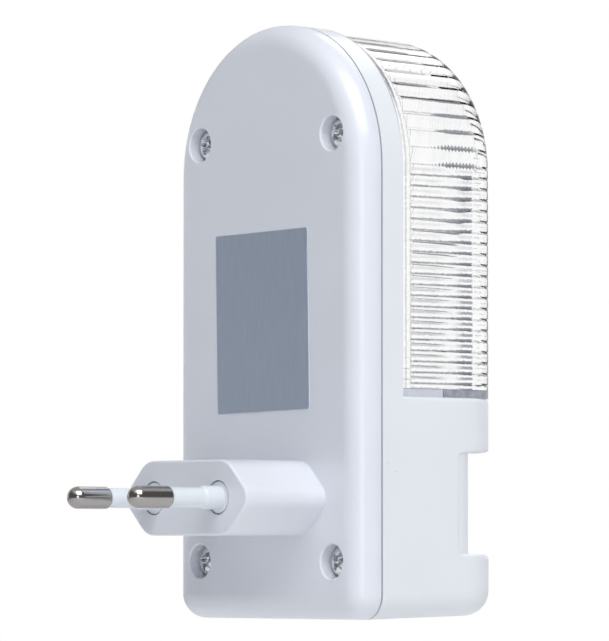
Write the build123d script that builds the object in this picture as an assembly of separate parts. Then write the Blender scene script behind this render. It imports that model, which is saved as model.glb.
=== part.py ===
from build123d import *
import os
from math import atan2, cos, degrees, radians, sin, tan

os.makedirs("parts", exist_ok=True)

# A plug-in night light. The origin is the middle of the plug's contact face, halfway between
# the two pins. +Y is the way the pins point, into the wall, and the lens faces -Y. +Z is up.
# A depth is measured from the casing's rear face towards the front.

# Casing
casing_width = 53.6
casing_top = 86.2
casing_bottom = 21.8
casing_depth = 36.3
seam_depth = 5.2
wall = 1.8
draft_angle = 2.0
bottom_draft_angle = 1.3
bottom_round = 4.6
rear_round = 4.3
front_round = 9.4
small_round = 0.7
surplus = 1.0
half_turn = 180
block_top_round = 0.8
channel_mouth_round = 0.7

# Seam between rear cover and front housing
seam_groove_width = 0.35
seam_groove_depth = 0.7
lip_height = 1.2
lip_thickness = 0.9
lip_clearance = 0.1

# Plug block
plug_length = 18.1
plug_width = 35.0
plug_height = 13.5
plug_tip_half_angle = 44.5
plug_tip_round = 2.8
plug_shoulder_round = 5.0
least_round = 0.3
plug_face_round = 0.5
plug_face_wall = 5.0
plug_side_wall = 1.8

# Pins and their sleeves
pin_spacing_at_face = 18.7
pin_spacing_at_tips = 17.6
pin_length = 19.4
pin_diameter = 4.0
pin_tip_flat = 0.02
pin_core_diameter = 2.6
pin_shoulder_round = 0.4
sleeve_length = 10.9
sleeve_diameter = 3.6
collar_length = 4.0
collar_diameter = 4.2
collar_taper_length = 0.6
sleeve_flange_diameter = 5.6
sleeve_flange_drop = 0.1
pin_recess_diameter = 6.2
pin_recess_depth = 1.0
pin_head_diameter = 6.4
pin_head_thickness = 1.4
pin_tail_length = 5.5
pin_head_gap = 0.12
snug = 0.02

# Case screws
screw_spacing = 38.2
screw_upper_height = 65.3
screw_lower_height = -11.4
screw_seat_depth = 3.6
screw_hole_diameter = 6.2
screw_hole_mouth_bevel = 0.25
mouth_bevel_angle = 45
screw_head_diameter = 5.4
screw_head_height = 2.2
screw_diameter = 2.9
screw_length = 8.0
screw_through_clearance = 0.4
screw_recess_width = 0.8
screw_recess_span = 3.0
screw_recess_depth = 1.0
screw_hole_spare = 0.3
screw_dome_share = 0.45
screw_point_share = 0.3
cover_post_diameter = 8.6
boss_diameter = 6.2
boss_blind_end = 1.4

# Front housing: deck under the lens, block below it, channel across the block
rim_depth = 10.5
rim_wall = 1.5
deck_depth = 9.0
deck_thickness = 1.5
block_top = 18.1
channel_low = -10.5
channel_high = 8.6
channel_floor_depth = 29.0
channel_edge_round = 4.7
channel_flare_angle = 4.0
channel_step = 0.3
channel_corner_round = 0.8

# Lens
lens_inset = 0.7
lens_wall = 1.9
lens_foot_wall = 1.5
lens_front_round = 8.2
lens_clearance = 0.12
lens_plain_band = 2.3
rib_first_height = 20.6
rib_pitch = 1.975
rib_rows = 20
rib_arch_start = 1.6
rib_arch_steps = 25
rib_overcut = 0.5
rib_groove_width = 0.5
rib_groove_depth = 0.3
rib_fan_inner_radius = 9.0

# Light sensor behind the channel
sensor_height = -1.0
window_diameter = 6.0
window_flange_diameter = 7.4
window_flange_thickness = 0.8
window_crown = 0.5
window_crown_share = 0.9
window_clearance = 0.1
collar_wall = 1.2
collar_reach = 4.0
sensor_diameter = 5.1
sensor_thickness = 2.1
sensor_lead_pitch = 3.4
lead_sleeve_wall = 0.35

# Circuit board
board_rear_depth = 3.4
board_thickness = 1.6
board_width = 28.4
board_bottom = -17.0
board_top = 75.5
board_corner_round = 1.0
board_screw_upper_height = 71.5
board_screw_lower_height = -13.8
board_screw_diameter = 2.2
board_screw_head_diameter = 4.2
board_screw_head_height = 1.2
board_screw_length = 5.0
board_post_diameter = 5.0
lead_diameter = 0.6
lead_hole_clearance = 0.3
lead_stub = 1.1
lead_bend = 0.8
lead_in_body = 1.0

# Lamps
led_columns = (-9.0, 9.0)
led_rows = (38.0, 56.0)
led_diameter = 5.0
led_flange_diameter = 5.8
led_flange_height = 1.0
led_height = 8.6
led_lead_pitch = 2.54
led_hole_clearance = 0.4
led_top_flat = 0.02

# Parts on the board: places are (x, z)
film_capacitor_place = (-3.5, 11.4)
film_capacitor_size = (17.5, 7.0, 12.5)
film_capacitor_pitch = 15.0
electrolytic_place = (8.3, -9.5)
electrolytic_diameter = 8.0
electrolytic_height = 12.0
electrolytic_pitch = 3.5
electrolytic_groove_height = 2.0
electrolytic_groove_depth = 0.35
rectifier_place = (-8.2, -9.0)
rectifier_diameter = 8.9
rectifier_height = 5.2
rectifier_pitch = 5.1
transistor_place = (-8.2, 1.6)
transistor_diameter = 4.7
transistor_flat = 1.2
transistor_height = 4.6
transistor_pitch = 1.27
transistor_lead_diameter = 0.48
transistor_stand_off = 1.0
surge_resistor_place = (9.9, 8.4)
zener_place = (8.4, -1.6)
bleeder_place = (-3.5, 21.6)
led_resistor_place = (7.6, 26.0)
sensor_resistor_place = (-7.6, 26.0)
small_resistor_length = 6.3
small_resistor_diameter = 2.2
surge_resistor_length = 9.0
surge_resistor_diameter = 3.2
axial_end_round_share = 0.2
zener_length = 4.3
zener_diameter = 2.3
axial_lead_overhang = 1.9

# Mains wires
wire_diameter = 1.6
wire_pad_spacing = 24.4
wire_bend = 2.4
wire_end_gap = 0.05

# Rating label
label_width = 26.4
label_height = 32.6
label_thickness = 0.12
label_corner_round = 0.4
label_centre = (0.6, 32.1)
label_skew = 1.1

# Derived places
arch_centre = casing_top - casing_width / 2
board_front_depth = board_rear_depth + board_thickness
pin_lean = degrees(atan2((pin_spacing_at_face - pin_spacing_at_tips) / 2, pin_length))
screw_places = [
    (side * screw_spacing / 2, height)
    for side in (-1, 1)
    for height in (screw_lower_height, screw_upper_height)
]
board_screw_places = [(0, board_screw_lower_height), (0, board_screw_upper_height)]
led_places = [(x, z) for x in led_columns for z in led_rows]
small_lead_pitch = small_resistor_length + 2 * axial_lead_overhang
surge_lead_pitch = surge_resistor_length + 2 * axial_lead_overhang
zener_lead_pitch = zener_length + 2 * axial_lead_overhang


def level(depth):
    """Sketch plane at a depth: its x is X, its y is Z, and it extrudes to the front."""
    return Plane.XZ.offset(plug_length + depth)


def disc(place, diameter, start, end):
    """Cylinder along the depth at an (x, z) place, between two depths."""
    return extrude(level(start) * Pos(*place) * Circle(diameter / 2), end - start)


def across(low, high, start, end):
    """Box wider than the casing, between two heights and two depths."""
    face = Rectangle(2 * casing_width, high - low)
    return extrude(level(start) * Pos(0, (low + high) / 2) * face, end - start)


# ---------------------------------------------------------------- casing shapes


def arch_outline(inset):
    """Outline of the rear cover: a semicircle on straight sides, inside its edge by inset."""
    half = casing_width / 2 - inset
    low = -casing_bottom + inset
    outline = Pos(0, (arch_centre + low) / 2) * Rectangle(2 * half, arch_centre - low)
    outline = fillet(outline.vertices().group_by(Axis.Y)[0], bottom_round - inset)
    return outline + Pos(0, arch_centre) * Circle(half)


def half_width(depth, inset):
    """Half the width of the front housing at a depth, narrowing by the draft."""
    return casing_width / 2 - inset - (depth - seam_depth) * tan(radians(draft_angle))


def half_plan(inset, start, end, corner):
    """Right half of the housing's section seen from above, with a rounded front corner."""
    rear_y = -(plug_length + start)
    front_y = -(plug_length + end)
    outline = make_face(
        Polyline(
            (0, rear_y),
            (half_width(start, inset), rear_y),
            (half_width(end, inset), front_y),
            (0, front_y),
            close=True,
        )
    )
    front_corner = outline.vertices().group_by(Axis.Y)[0].sort_by(Axis.X)[-1]
    return fillet(front_corner, corner)


def arched(inset, start, end, corner, low):
    """Solid between two depths: the housing's plan carried up from a height and over the arch."""
    plan = half_plan(inset, start, end, corner)
    crown = revolve(
        Pos(0, 0, arch_centre) * plan,
        Axis((0, 0, arch_centre), (0, -1, 0)),
        half_turn,
    )
    return crown + extrude(Pos(0, 0, low) * (plan + mirror(plan, Plane.YZ)), arch_centre - low)


def front_shape(inset, start, end, corner):
    """Solid of the whole front form between two depths, with its drafted, rounded bottom."""
    low = -casing_bottom + inset
    margin = 2.0
    body = arched(inset, start, end, corner, low - margin)
    under = Box(
        2 * casing_width,
        4 * casing_depth,
        4 * margin,
        align=(Align.CENTER, Align.CENTER, Align.MAX),
    )
    body -= Pos(0, -(plug_length + seam_depth), low) * Rot(-bottom_draft_angle, 0, 0) * under
    bottom_face = body.faces().sort_by(Axis.Z)[0]
    rounded = bottom_face.edges().sort_by(Axis.Y)[:-1]
    return fillet(rounded, bottom_round - inset)


def channel(grow):
    """Space of the channel across the front, larger than the real one by grow all round.

    Its floor is rounded towards both sides and lies a small step inside the side walls.
    """
    flare = tan(radians(channel_flare_angle))
    floor = channel_floor_depth - grow
    mouth = casing_depth + surplus
    behind_y = -(plug_length + floor - channel_edge_round)
    floor_y = -(plug_length + floor)
    mouth_y = -(plug_length + mouth)
    narrowing = (casing_depth - channel_floor_depth) * flare
    widening = (mouth - casing_depth) * flare
    section = make_face(
        Polyline(
            (behind_y, channel_low + narrowing - grow),
            (behind_y, channel_high - narrowing + grow),
            (floor_y, channel_high - narrowing + grow),
            (mouth_y, channel_high + widening + grow),
            (mouth_y, channel_low - widening - grow),
            (floor_y, channel_low + narrowing - grow),
            close=True,
        )
    )
    section = fillet(section.vertices().group_by(Axis.X)[-1], channel_corner_round)
    slot = extrude(Plane.YZ * section, casing_width, both=True)
    inset = grow + channel_step
    return slot - front_shape(inset, seam_depth, floor, channel_edge_round)


def housing_form(inset, deck):
    """Front housing as a full solid, inside its skin by inset, up to a deck under the lens."""
    form = front_shape(inset, seam_depth, casing_depth - inset, front_round - inset)
    form -= channel(inset)
    form -= across(block_top - inset, casing_top + surplus, deck, casing_depth + surplus)
    return form


def round_front_edge(form, height, radius):
    """Rounds the edge that runs round the front of the block at one height.

    The round follows every edge that goes on smoothly from it, so one call rounds the whole
    mouth of the channel: above, down both side walls and below.
    """
    tolerance = 0.3
    floor_y = -(plug_length + channel_floor_depth)
    edges = [
        edge
        for edge in form.edges().filter_by(GeomType.LINE, reverse=True)
        + form.edges().filter_by(Axis.X)
        if edge.bounding_box().min.Z > height - 2 * tolerance
        and edge.bounding_box().max.Z < height + 2 * tolerance
        and edge.center().Y < floor_y - surplus
    ]
    return fillet(edges, radius)


# ---------------------------------------------------------------- casing pieces


def plug_outline(inset):
    """Long six-sided outline of the plug, with rounded corners, inside its edge by inset."""
    slope = radians(plug_tip_half_angle)
    tip = plug_width / 2 + plug_tip_round * (1 / sin(slope) - 1) - inset / sin(slope)
    high = plug_height / 2 - inset
    shoulder = tip - high / tan(slope)
    outline = make_face(
        Polyline(
            (tip, 0),
            (shoulder, high),
            (-shoulder, high),
            (-tip, 0),
            (-shoulder, -high),
            (shoulder, -high),
            close=True,
        )
    )
    shoulders = outline.vertices().filter_by(lambda v: abs(v.Y) > high / 2)
    outline = fillet(shoulders, plug_shoulder_round - inset)
    tips = outline.vertices().sort_by(Axis.X)
    return fillet([tips[0], tips[-1]], max(plug_tip_round - inset, least_round))


def pin_axis_plane(side):
    """Plane at the plug's face whose normal is the leaning axis of one pin, pointing out."""
    lean = radians(pin_lean)
    return Plane(
        origin=(side * pin_spacing_at_face / 2, 0, 0),
        x_dir=(0, 0, 1),
        z_dir=(-side * sin(lean), cos(lean), 0),
    )


def along_pin(side, diameter, start, end):
    """Cylinder on one pin's axis, between two distances out from the plug's face."""
    return extrude(pin_axis_plane(side).offset(start) * Circle(diameter / 2), end - start)


def screw_hole_mouth(place):
    """Cone that eases the edge of one screw hole where it opens in the rear face."""
    opening = Circle(screw_hole_diameter / 2 + screw_hole_mouth_bevel)
    return extrude(level(0) * Pos(*place) * opening, screw_hole_mouth_bevel, taper=mouth_bevel_angle)


def make_rear_cover():
    """Shallow rear shell with the plug block, four screw posts and the lip for the seam."""
    cover = extrude(level(0) * arch_outline(0), seam_depth)
    cover = fillet(cover.faces().sort_by(Axis.Y)[-1].edges(), rear_round)
    inside = extrude(level(wall) * arch_outline(wall + lip_clearance + lip_thickness), seam_depth)
    cover -= inside
    lip = arch_outline(wall + lip_clearance) - arch_outline(wall + lip_clearance + lip_thickness)
    cover += extrude(level(seam_depth) * lip, lip_height)

    block = extrude(Plane.XZ * plug_outline(0), plug_length)
    block = fillet(block.faces().sort_by(Axis.Y)[-1].edges(), plug_face_round)
    cover += block
    cover -= extrude(
        Plane.XZ.offset(plug_face_wall) * plug_outline(plug_side_wall),
        plug_length + wall - plug_face_wall,
    )
    for side in (-1, 1):
        cover -= along_pin(side, collar_diameter + 2 * snug, -2 * plug_face_wall, surplus)
        cover -= along_pin(side, pin_recess_diameter, -pin_recess_depth, surplus)

    for place in screw_places:
        cover += disc(place, cover_post_diameter, wall / 2, seam_depth)
        cover -= disc(place, screw_hole_diameter, -surplus, screw_seat_depth)
        cover -= disc(place, screw_diameter + screw_through_clearance, 0, seam_depth + surplus)
        cover -= screw_hole_mouth(place)
    return cover


def make_front_housing():
    """Front shell: rim and deck for the lens, the block with its channel, bosses and posts."""
    deck_rear = deck_depth - deck_thickness
    screw_tip = screw_seat_depth + screw_length
    outer = housing_form(0, rim_depth)
    outer = round_front_edge(outer, block_top, block_top_round)
    outer = round_front_edge(outer, channel_high, channel_mouth_round)
    housing = outer - housing_form(wall, deck_rear)

    groove = arch_outline(-surplus) - arch_outline(seam_groove_depth)
    housing -= extrude(level(seam_depth) * groove, seam_groove_width)

    housing -= arched(rim_wall, deck_depth, rim_depth + surplus, small_round, block_top)

    for place in screw_places:
        if place[1] > block_top:
            boss_end = screw_tip + boss_blind_end
        else:
            boss_end = channel_floor_depth - wall / 2
        housing += disc(place, boss_diameter, seam_depth, boss_end)
        screw_hole = screw_diameter + 2 * snug
        housing -= disc(place, screw_hole, seam_depth - surplus, screw_tip + screw_hole_spare)

    post_ends = (casing_depth - wall / 2, deck_depth - deck_thickness / 2)
    for place, end in zip(board_screw_places, post_ends):
        housing += disc(place, board_post_diameter, board_front_depth, end)
        hole_end = min(board_rear_depth + board_screw_length + screw_hole_spare, end + deck_thickness)
        housing -= disc(place, board_screw_diameter + 2 * snug, board_front_depth, hole_end)

    for place in led_places:
        housing -= disc(place, led_diameter + led_hole_clearance, 0, deck_depth + surplus)

    sensor_place = (0, sensor_height)
    floor_inside = channel_floor_depth - wall
    collar_inside = window_flange_diameter + 2 * window_clearance
    collar = disc(
        sensor_place, collar_inside + 2 * collar_wall, floor_inside - collar_reach, floor_inside
    )
    collar -= disc(sensor_place, collar_inside, floor_inside - collar_reach, floor_inside)
    housing += collar
    housing -= disc(
        sensor_place,
        window_diameter + 2 * window_clearance,
        floor_inside - surplus,
        channel_floor_depth + surplus,
    )
    return housing


def make_lens():
    """Clear cap with a skirt inside the rim, and fine grooves along its sides and front."""
    skirt_inset = rim_wall + lens_clearance
    outer = arched(lens_inset, rim_depth, casing_depth, lens_front_round, block_top)
    outer += arched(skirt_inset, deck_depth, rim_depth + small_round, small_round / 2, block_top)
    lens = outer - arched(
        lens_inset + lens_wall,
        deck_depth,
        casing_depth - lens_wall,
        lens_front_round - lens_wall,
        block_top + lens_foot_wall,
    )

    groove_start = rim_depth + lens_plain_band
    groove_end = casing_depth + rib_overcut
    band = arched(
        lens_inset - rib_overcut,
        groove_start,
        groove_end,
        lens_front_round + rib_overcut,
        block_top,
    )
    band -= arched(
        lens_inset + rib_groove_depth,
        groove_start,
        casing_depth - rib_groove_depth,
        lens_front_round - rib_groove_depth,
        block_top,
    )
    cutters = []
    for row in range(rib_rows):
        low = rib_first_height + row * rib_pitch - rib_groove_width / 2
        cutters.append(across(low, low + rib_groove_width, groove_start, groove_end))
    reach = casing_width / 2 - rib_fan_inner_radius
    fan = Pos(rib_fan_inner_radius + reach / 2, -plug_length - casing_depth / 2, 0) * Box(
        reach, 2 * casing_depth, rib_groove_width
    )
    fan_step = (half_turn - 2 * rib_arch_start) / rib_arch_steps
    for step in range(rib_arch_steps + 1):
        turn = rib_arch_start + step * fan_step
        cutters.append(Pos(0, 0, arch_centre) * Rot(0, -turn, 0) * fan)
    return lens - (band & Part() + cutters)


def make_sensor_window():
    """Clear stepped button that lets daylight through the channel floor."""
    place = (0, sensor_height)
    inside = channel_floor_depth - wall
    rear = inside - window_flange_thickness
    window = disc(place, window_diameter, rear, channel_floor_depth + window_crown)
    rim = window.faces().sort_by(Axis.Y)[0].edges()
    window = fillet(rim, window_crown * window_crown_share)
    return window + disc(place, window_flange_diameter, rear, inside)


def make_rating_label():
    """Plain foil sticker on the rear face, put on slightly askew."""
    label = RectangleRounded(label_width, label_height, label_corner_round)
    place = Pos(*label_centre) * Rot(0, 0, -label_skew)
    return extrude(level(-label_thickness) * place * label, label_thickness)


def make_case_screws():
    """Four pan-head screws with cross recesses, from the rear cover into the housing bosses."""
    head_top = screw_seat_depth - screw_head_height
    cross = Rectangle(screw_recess_span, screw_recess_width)
    cross += Rectangle(screw_recess_width, screw_recess_span)
    screws = []
    for place in screw_places:
        head = disc(place, screw_head_diameter, head_top, screw_seat_depth)
        rim = head.faces().sort_by(Axis.Y)[-1].edges()
        head = fillet(rim, screw_head_height * screw_dome_share)
        shank = disc(place, screw_diameter, screw_seat_depth, screw_seat_depth + screw_length)
        point = shank.faces().sort_by(Axis.Y)[0].edges()
        shank = chamfer(point, screw_diameter * screw_point_share)
        recess = extrude(level(head_top) * Pos(*place) * cross, screw_recess_depth)
        screws.append(head + shank - recess)
    return Compound(children=screws)


# ---------------------------------------------------------------- plug pins


def make_pin(side):
    """Turned pin: round tip, thick bare end, thin core in the sleeve, head and solder tail."""
    bare = along_pin(side, pin_diameter, sleeve_length, pin_length)
    tip = bare.faces().sort_by(Axis.Y)[-1].edges()
    bare = fillet(tip, (pin_diameter - pin_tip_flat) / 2)
    bare = fillet(bare.faces().sort_by(Axis.Y)[0].edges(), pin_shoulder_round)
    tail_end = -plug_face_wall - pin_tail_length
    core = along_pin(side, pin_core_diameter, tail_end, sleeve_length + surplus)
    head_start = -plug_face_wall - pin_head_thickness
    head = along_pin(side, pin_head_diameter, head_start, -plug_face_wall - pin_head_gap)
    return bare + core + head


def make_pin_sleeve(side):
    """Insulating sleeve: a flange in the plug's recess, a collar, then thin to the bare end."""
    taper_start = collar_length - collar_taper_length
    sleeve = along_pin(side, sleeve_diameter, collar_length, sleeve_length)
    sleeve += along_pin(side, collar_diameter, -plug_face_wall, taper_start)
    sleeve += loft(
        [
            pin_axis_plane(side).offset(taper_start) * Circle(collar_diameter / 2),
            pin_axis_plane(side).offset(collar_length) * Circle(sleeve_diameter / 2),
        ]
    )
    flange_seat = snug - pin_recess_depth
    sleeve += along_pin(side, sleeve_flange_diameter, flange_seat, -sleeve_flange_drop)
    bore = pin_core_diameter + 2 * snug
    return sleeve - along_pin(side, bore, -plug_face_wall - surplus, sleeve_length + surplus)


# ---------------------------------------------------------------- circuit board and its parts


def offsets_along(place, pitch, direction):
    """The two lead places of a part: half a pitch each way along 'x' or 'z'."""
    x, z = place
    step = pitch / 2
    if direction == "x":
        return [(x - step, z), (x + step, z)]
    return [(x, z - step), (x, z + step)]


def rectifier_leads():
    """Four lead places at the corners of a square."""
    x, z = rectifier_place
    step = rectifier_pitch / 2
    return [(x + a * step, z + b * step) for a in (-1, 1) for b in (-1, 1)]


def transistor_leads():
    """Three lead places in a row."""
    x, z = transistor_place
    return [(x + a * transistor_pitch, z) for a in (-1, 0, 1)]


def all_lead_places():
    """Every place where a thin lead passes through the board."""
    places = offsets_along(film_capacitor_place, film_capacitor_pitch, "x")
    places += offsets_along(electrolytic_place, electrolytic_pitch, "x")
    places += rectifier_leads()
    places += transistor_leads()
    places += offsets_along(surge_resistor_place, surge_lead_pitch, "z")
    places += offsets_along(zener_place, zener_lead_pitch, "x")
    for place in (bleeder_place, led_resistor_place, sensor_resistor_place):
        places += offsets_along(place, small_lead_pitch, "x")
    for place in led_places:
        places += offsets_along(place, led_lead_pitch, "x")
    places += offsets_along((0, sensor_height), sensor_lead_pitch, "x")
    return places


def make_circuit_board():
    """Single board behind the deck, drilled for every lead, both screws and the mains wires."""
    middle = (board_bottom + board_top) / 2
    outline = RectangleRounded(board_width, board_top - board_bottom, board_corner_round)
    outline = Pos(0, middle) * outline
    for place in all_lead_places():
        outline -= Pos(*place) * Circle((lead_diameter + lead_hole_clearance) / 2)
    for place in board_screw_places:
        outline -= Pos(*place) * Circle((board_screw_diameter + screw_through_clearance) / 2)
    return extrude(level(board_rear_depth) * outline, board_thickness)


def make_board_screws():
    """Two small screws that hold the board on its posts."""
    head_top = board_rear_depth - board_screw_head_height
    tip = board_rear_depth + board_screw_length
    screws = []
    for place in board_screw_places:
        head = disc(place, board_screw_head_diameter, head_top, board_rear_depth)
        rim = head.faces().sort_by(Axis.Y)[-1].edges()
        head = fillet(rim, board_screw_head_height * screw_dome_share)
        screws.append(head + disc(place, board_screw_diameter, board_rear_depth, tip))
    return Compound(children=screws)


def lead(place, top):
    """Straight lead from its stub behind the board up to a depth."""
    return disc(place, lead_diameter, board_rear_depth - lead_stub, top)


def axial_part(place, direction, length, diameter, pitch):
    """Resistor or diode lying on the board, with a lead bent down at each end."""
    height = board_front_depth + diameter / 2
    stub = board_rear_depth - lead_stub
    body = Cylinder(diameter / 2, length)
    body = fillet(body.edges(), diameter * axial_end_round_share)
    route = FilletPolyline(
        (-pitch / 2, stub - height),
        (-pitch / 2, 0),
        (pitch / 2, 0),
        (pitch / 2, stub - height),
        radius=lead_bend,
    )
    section = Plane(origin=route @ 0, z_dir=route % 0) * Circle(lead_diameter / 2)
    part = sweep(section, path=route) + Rot(0, 90, 0) * body
    turn = 0 if direction == "x" else 90
    return level(height) * Pos(*place) * Rot(0, 0, turn) * Rot(90, 0, 0) * part


def make_film_capacitor():
    """Boxed film capacitor that drops the mains voltage."""
    long_side, short_side, height = film_capacitor_size
    outline = Pos(*film_capacitor_place) * Rectangle(long_side, short_side)
    box = extrude(level(board_front_depth) * outline, height)
    box = fillet(box.faces().sort_by(Axis.Y)[0].edges(), small_round)
    for place in offsets_along(film_capacitor_place, film_capacitor_pitch, "x"):
        box += lead(place, board_front_depth + lead_in_body)
    return box


def make_electrolytic_capacitor():
    """Round can that smooths the supply, with the rolled groove near its foot."""
    start = board_front_depth
    can = disc(electrolytic_place, electrolytic_diameter, start, start + electrolytic_height)
    can = fillet(can.faces().sort_by(Axis.Y)[0].edges(), small_round)
    groove = Circle(electrolytic_diameter / 2 + surplus)
    groove -= Circle(electrolytic_diameter / 2 - electrolytic_groove_depth)
    groove_plane = level(start + electrolytic_groove_height)
    can -= extrude(groove_plane * Pos(*electrolytic_place) * groove, small_round)
    for place in offsets_along(electrolytic_place, electrolytic_pitch, "x"):
        can += lead(place, start + lead_in_body)
    return can


def make_bridge_rectifier():
    """Round moulded bridge rectifier on four leads."""
    start = board_front_depth
    body = disc(rectifier_place, rectifier_diameter, start, start + rectifier_height)
    body = fillet(body.faces().sort_by(Axis.Y)[0].edges(), small_round)
    for place in rectifier_leads():
        body += lead(place, start + lead_in_body)
    return body


def make_transistor():
    """Small transistor that switches the lamps, a cylinder with one flat side."""
    x, z = transistor_place
    outline = Circle(transistor_diameter / 2)
    outline -= Pos(0, -transistor_flat - transistor_diameter / 2) * Rectangle(
        2 * transistor_diameter, transistor_diameter
    )
    start = board_front_depth + transistor_stand_off
    stub = board_rear_depth - lead_stub
    body = extrude(level(start) * Pos(x, z) * outline, transistor_height)
    for place in transistor_leads():
        body += disc(place, transistor_lead_diameter, stub, start + lead_in_body)
    return body


def make_leds():
    """Four round-topped white lamps standing on the board and through the deck."""
    start = board_front_depth
    lamps = []
    for place in led_places:
        body = disc(place, led_diameter, start, start + led_height)
        top = body.faces().sort_by(Axis.Y)[0].edges()
        body = fillet(top, (led_diameter - led_top_flat) / 2)
        body += disc(place, led_flange_diameter, start, start + led_flange_height)
        for foot in offsets_along(place, led_lead_pitch, "x"):
            body += lead(foot, start + led_flange_height)
        lamps.append(body)
    return Compound(children=lamps)


def sensor_front_depth():
    """Depth of the light sensor's face, just behind the window's flange."""
    return channel_floor_depth - wall - window_flange_thickness


def make_light_sensor():
    """Photocell behind the window, on two long leads."""
    face = sensor_front_depth()
    cell = disc((0, sensor_height), sensor_diameter, face - sensor_thickness, face)
    for place in offsets_along((0, sensor_height), sensor_lead_pitch, "x"):
        cell += lead(place, face - sensor_thickness / 2)
    return cell


def make_sensor_lead_sleeves():
    """Two insulating tubes on the photocell's long leads."""
    tubes = []
    outside = lead_diameter + 2 * (snug + lead_sleeve_wall)
    end = sensor_front_depth() - sensor_thickness
    for place in offsets_along((0, sensor_height), sensor_lead_pitch, "x"):
        tube = disc(place, outside, board_front_depth, end)
        tubes.append(tube - disc(place, lead_diameter + 2 * snug, board_front_depth, end))
    return Compound(children=tubes)


def make_mains_wire(side):
    """Insulated wire from one pin's tail to its pad on the back of the board."""
    lean = radians(pin_lean)
    tail = plug_face_wall + pin_tail_length + wire_end_gap
    start = (side * (pin_spacing_at_face / 2 + tail * sin(lean)), -tail * cos(lean), 0)
    board_y = -(plug_length + board_rear_depth)
    pad_x = side * wire_pad_spacing / 2
    middle_y = (start[1] + board_y) / 2
    path = FilletPolyline(
        start,
        (start[0], middle_y + wire_bend / 2, 0),
        (pad_x, middle_y - wire_bend / 2, 0),
        (pad_x, board_y, 0),
        radius=wire_bend,
    )
    return sweep(Plane(origin=path @ 0, z_dir=path % 0) * Circle(wire_diameter / 2), path=path)


# ---------------------------------------------------------------- the set of pieces

pieces = {
    "rear_cover": make_rear_cover(),
    "front_housing": make_front_housing(),
    "lens": make_lens(),
    "sensor_window": make_sensor_window(),
    "rating_label": make_rating_label(),
    "case_screws": make_case_screws(),
    "left_pin": make_pin(-1),
    "right_pin": make_pin(1),
    "left_pin_sleeve": make_pin_sleeve(-1),
    "right_pin_sleeve": make_pin_sleeve(1),
    "circuit_board": make_circuit_board(),
    "board_screws": make_board_screws(),
    "leds": make_leds(),
    "light_sensor": make_light_sensor(),
    "sensor_lead_sleeves": make_sensor_lead_sleeves(),
    "film_capacitor": make_film_capacitor(),
    "electrolytic_capacitor": make_electrolytic_capacitor(),
    "bridge_rectifier": make_bridge_rectifier(),
    "transistor": make_transistor(),
    "surge_resistor": axial_part(
        surge_resistor_place, "z", surge_resistor_length, surge_resistor_diameter, surge_lead_pitch
    ),
    "zener_diode": axial_part(zener_place, "x", zener_length, zener_diameter, zener_lead_pitch),
    "bleeder_resistor": axial_part(
        bleeder_place, "x", small_resistor_length, small_resistor_diameter, small_lead_pitch
    ),
    "led_resistor": axial_part(
        led_resistor_place, "x", small_resistor_length, small_resistor_diameter, small_lead_pitch
    ),
    "sensor_resistor": axial_part(
        sensor_resistor_place, "x", small_resistor_length, small_resistor_diameter, small_lead_pitch
    ),
    "left_mains_wire": make_mains_wire(-1),
    "right_mains_wire": make_mains_wire(1),
}

for name, piece in pieces.items():
    export_step(piece, f"parts/{name}.step")
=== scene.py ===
from math import cos, pi, radians, sin, tan

import bmesh
import bpy
import numpy as np
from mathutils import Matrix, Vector


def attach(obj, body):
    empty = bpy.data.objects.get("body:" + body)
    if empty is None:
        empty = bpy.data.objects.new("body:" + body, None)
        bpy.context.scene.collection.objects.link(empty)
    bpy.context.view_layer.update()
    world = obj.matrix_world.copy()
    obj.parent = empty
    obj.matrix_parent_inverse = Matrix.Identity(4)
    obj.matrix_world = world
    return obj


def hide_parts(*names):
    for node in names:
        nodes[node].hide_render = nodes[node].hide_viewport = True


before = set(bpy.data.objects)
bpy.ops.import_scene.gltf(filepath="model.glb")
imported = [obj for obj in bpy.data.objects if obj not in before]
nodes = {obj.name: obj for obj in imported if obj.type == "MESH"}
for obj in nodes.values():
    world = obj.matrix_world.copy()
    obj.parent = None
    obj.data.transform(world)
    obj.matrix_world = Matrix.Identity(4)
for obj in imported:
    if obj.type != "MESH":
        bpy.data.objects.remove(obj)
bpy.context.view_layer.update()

mm = 0.001

# ---------------------------------------------------------------- camera
# The light is seen from behind and slightly below, through a long lens about a metre away, so
# its edges stay nearly parallel. The plug's face is the origin, and the pins point to +Y.

camera_place = Vector((-0.76434, 0.59457, -0.01013))
camera_turn = radians(50.86)
camera_rise = radians(2.48)
camera_focal_length = 303.4
view_direction = Vector(
    (sin(camera_turn) * cos(camera_rise), -cos(camera_turn) * cos(camera_rise), sin(camera_rise))
)
camera_data = bpy.data.cameras.new("camera")
camera_data.lens = camera_focal_length
camera_data.clip_start = 0.05
camera_data.clip_end = 50.0
camera = bpy.data.objects.new("camera", camera_data)
camera.location = camera_place
camera.rotation_euler = view_direction.to_track_quat("-Z", "Y").to_euler()
bpy.context.scene.collection.objects.link(camera)
bpy.context.scene.camera = camera
bpy.context.scene.view_settings.view_transform = "Standard"

# ---------------------------------------------------------------- floor
# A pale matt floor a little below the light, which in use hangs in its socket. It carries the
# light's soft shadow, sends light up to its underside, and is clear to an eye below it.


def feed(tree, socket, value):
    """Gives an input either a constant or the output that it follows."""
    if isinstance(value, bpy.types.NodeSocket):
        tree.links.new(value, socket)
    else:
        socket.default_value = value


def add_node(tree, kind, values=(), **settings):
    """Adds a shader node: settings are its properties, values feed its inputs by name or number."""
    made = tree.nodes.new(kind)
    for key, value in settings.items():
        setattr(made, key, value)
    for key, value in dict(values).items():
        feed(tree, made.inputs[key], value)
    return made


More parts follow.
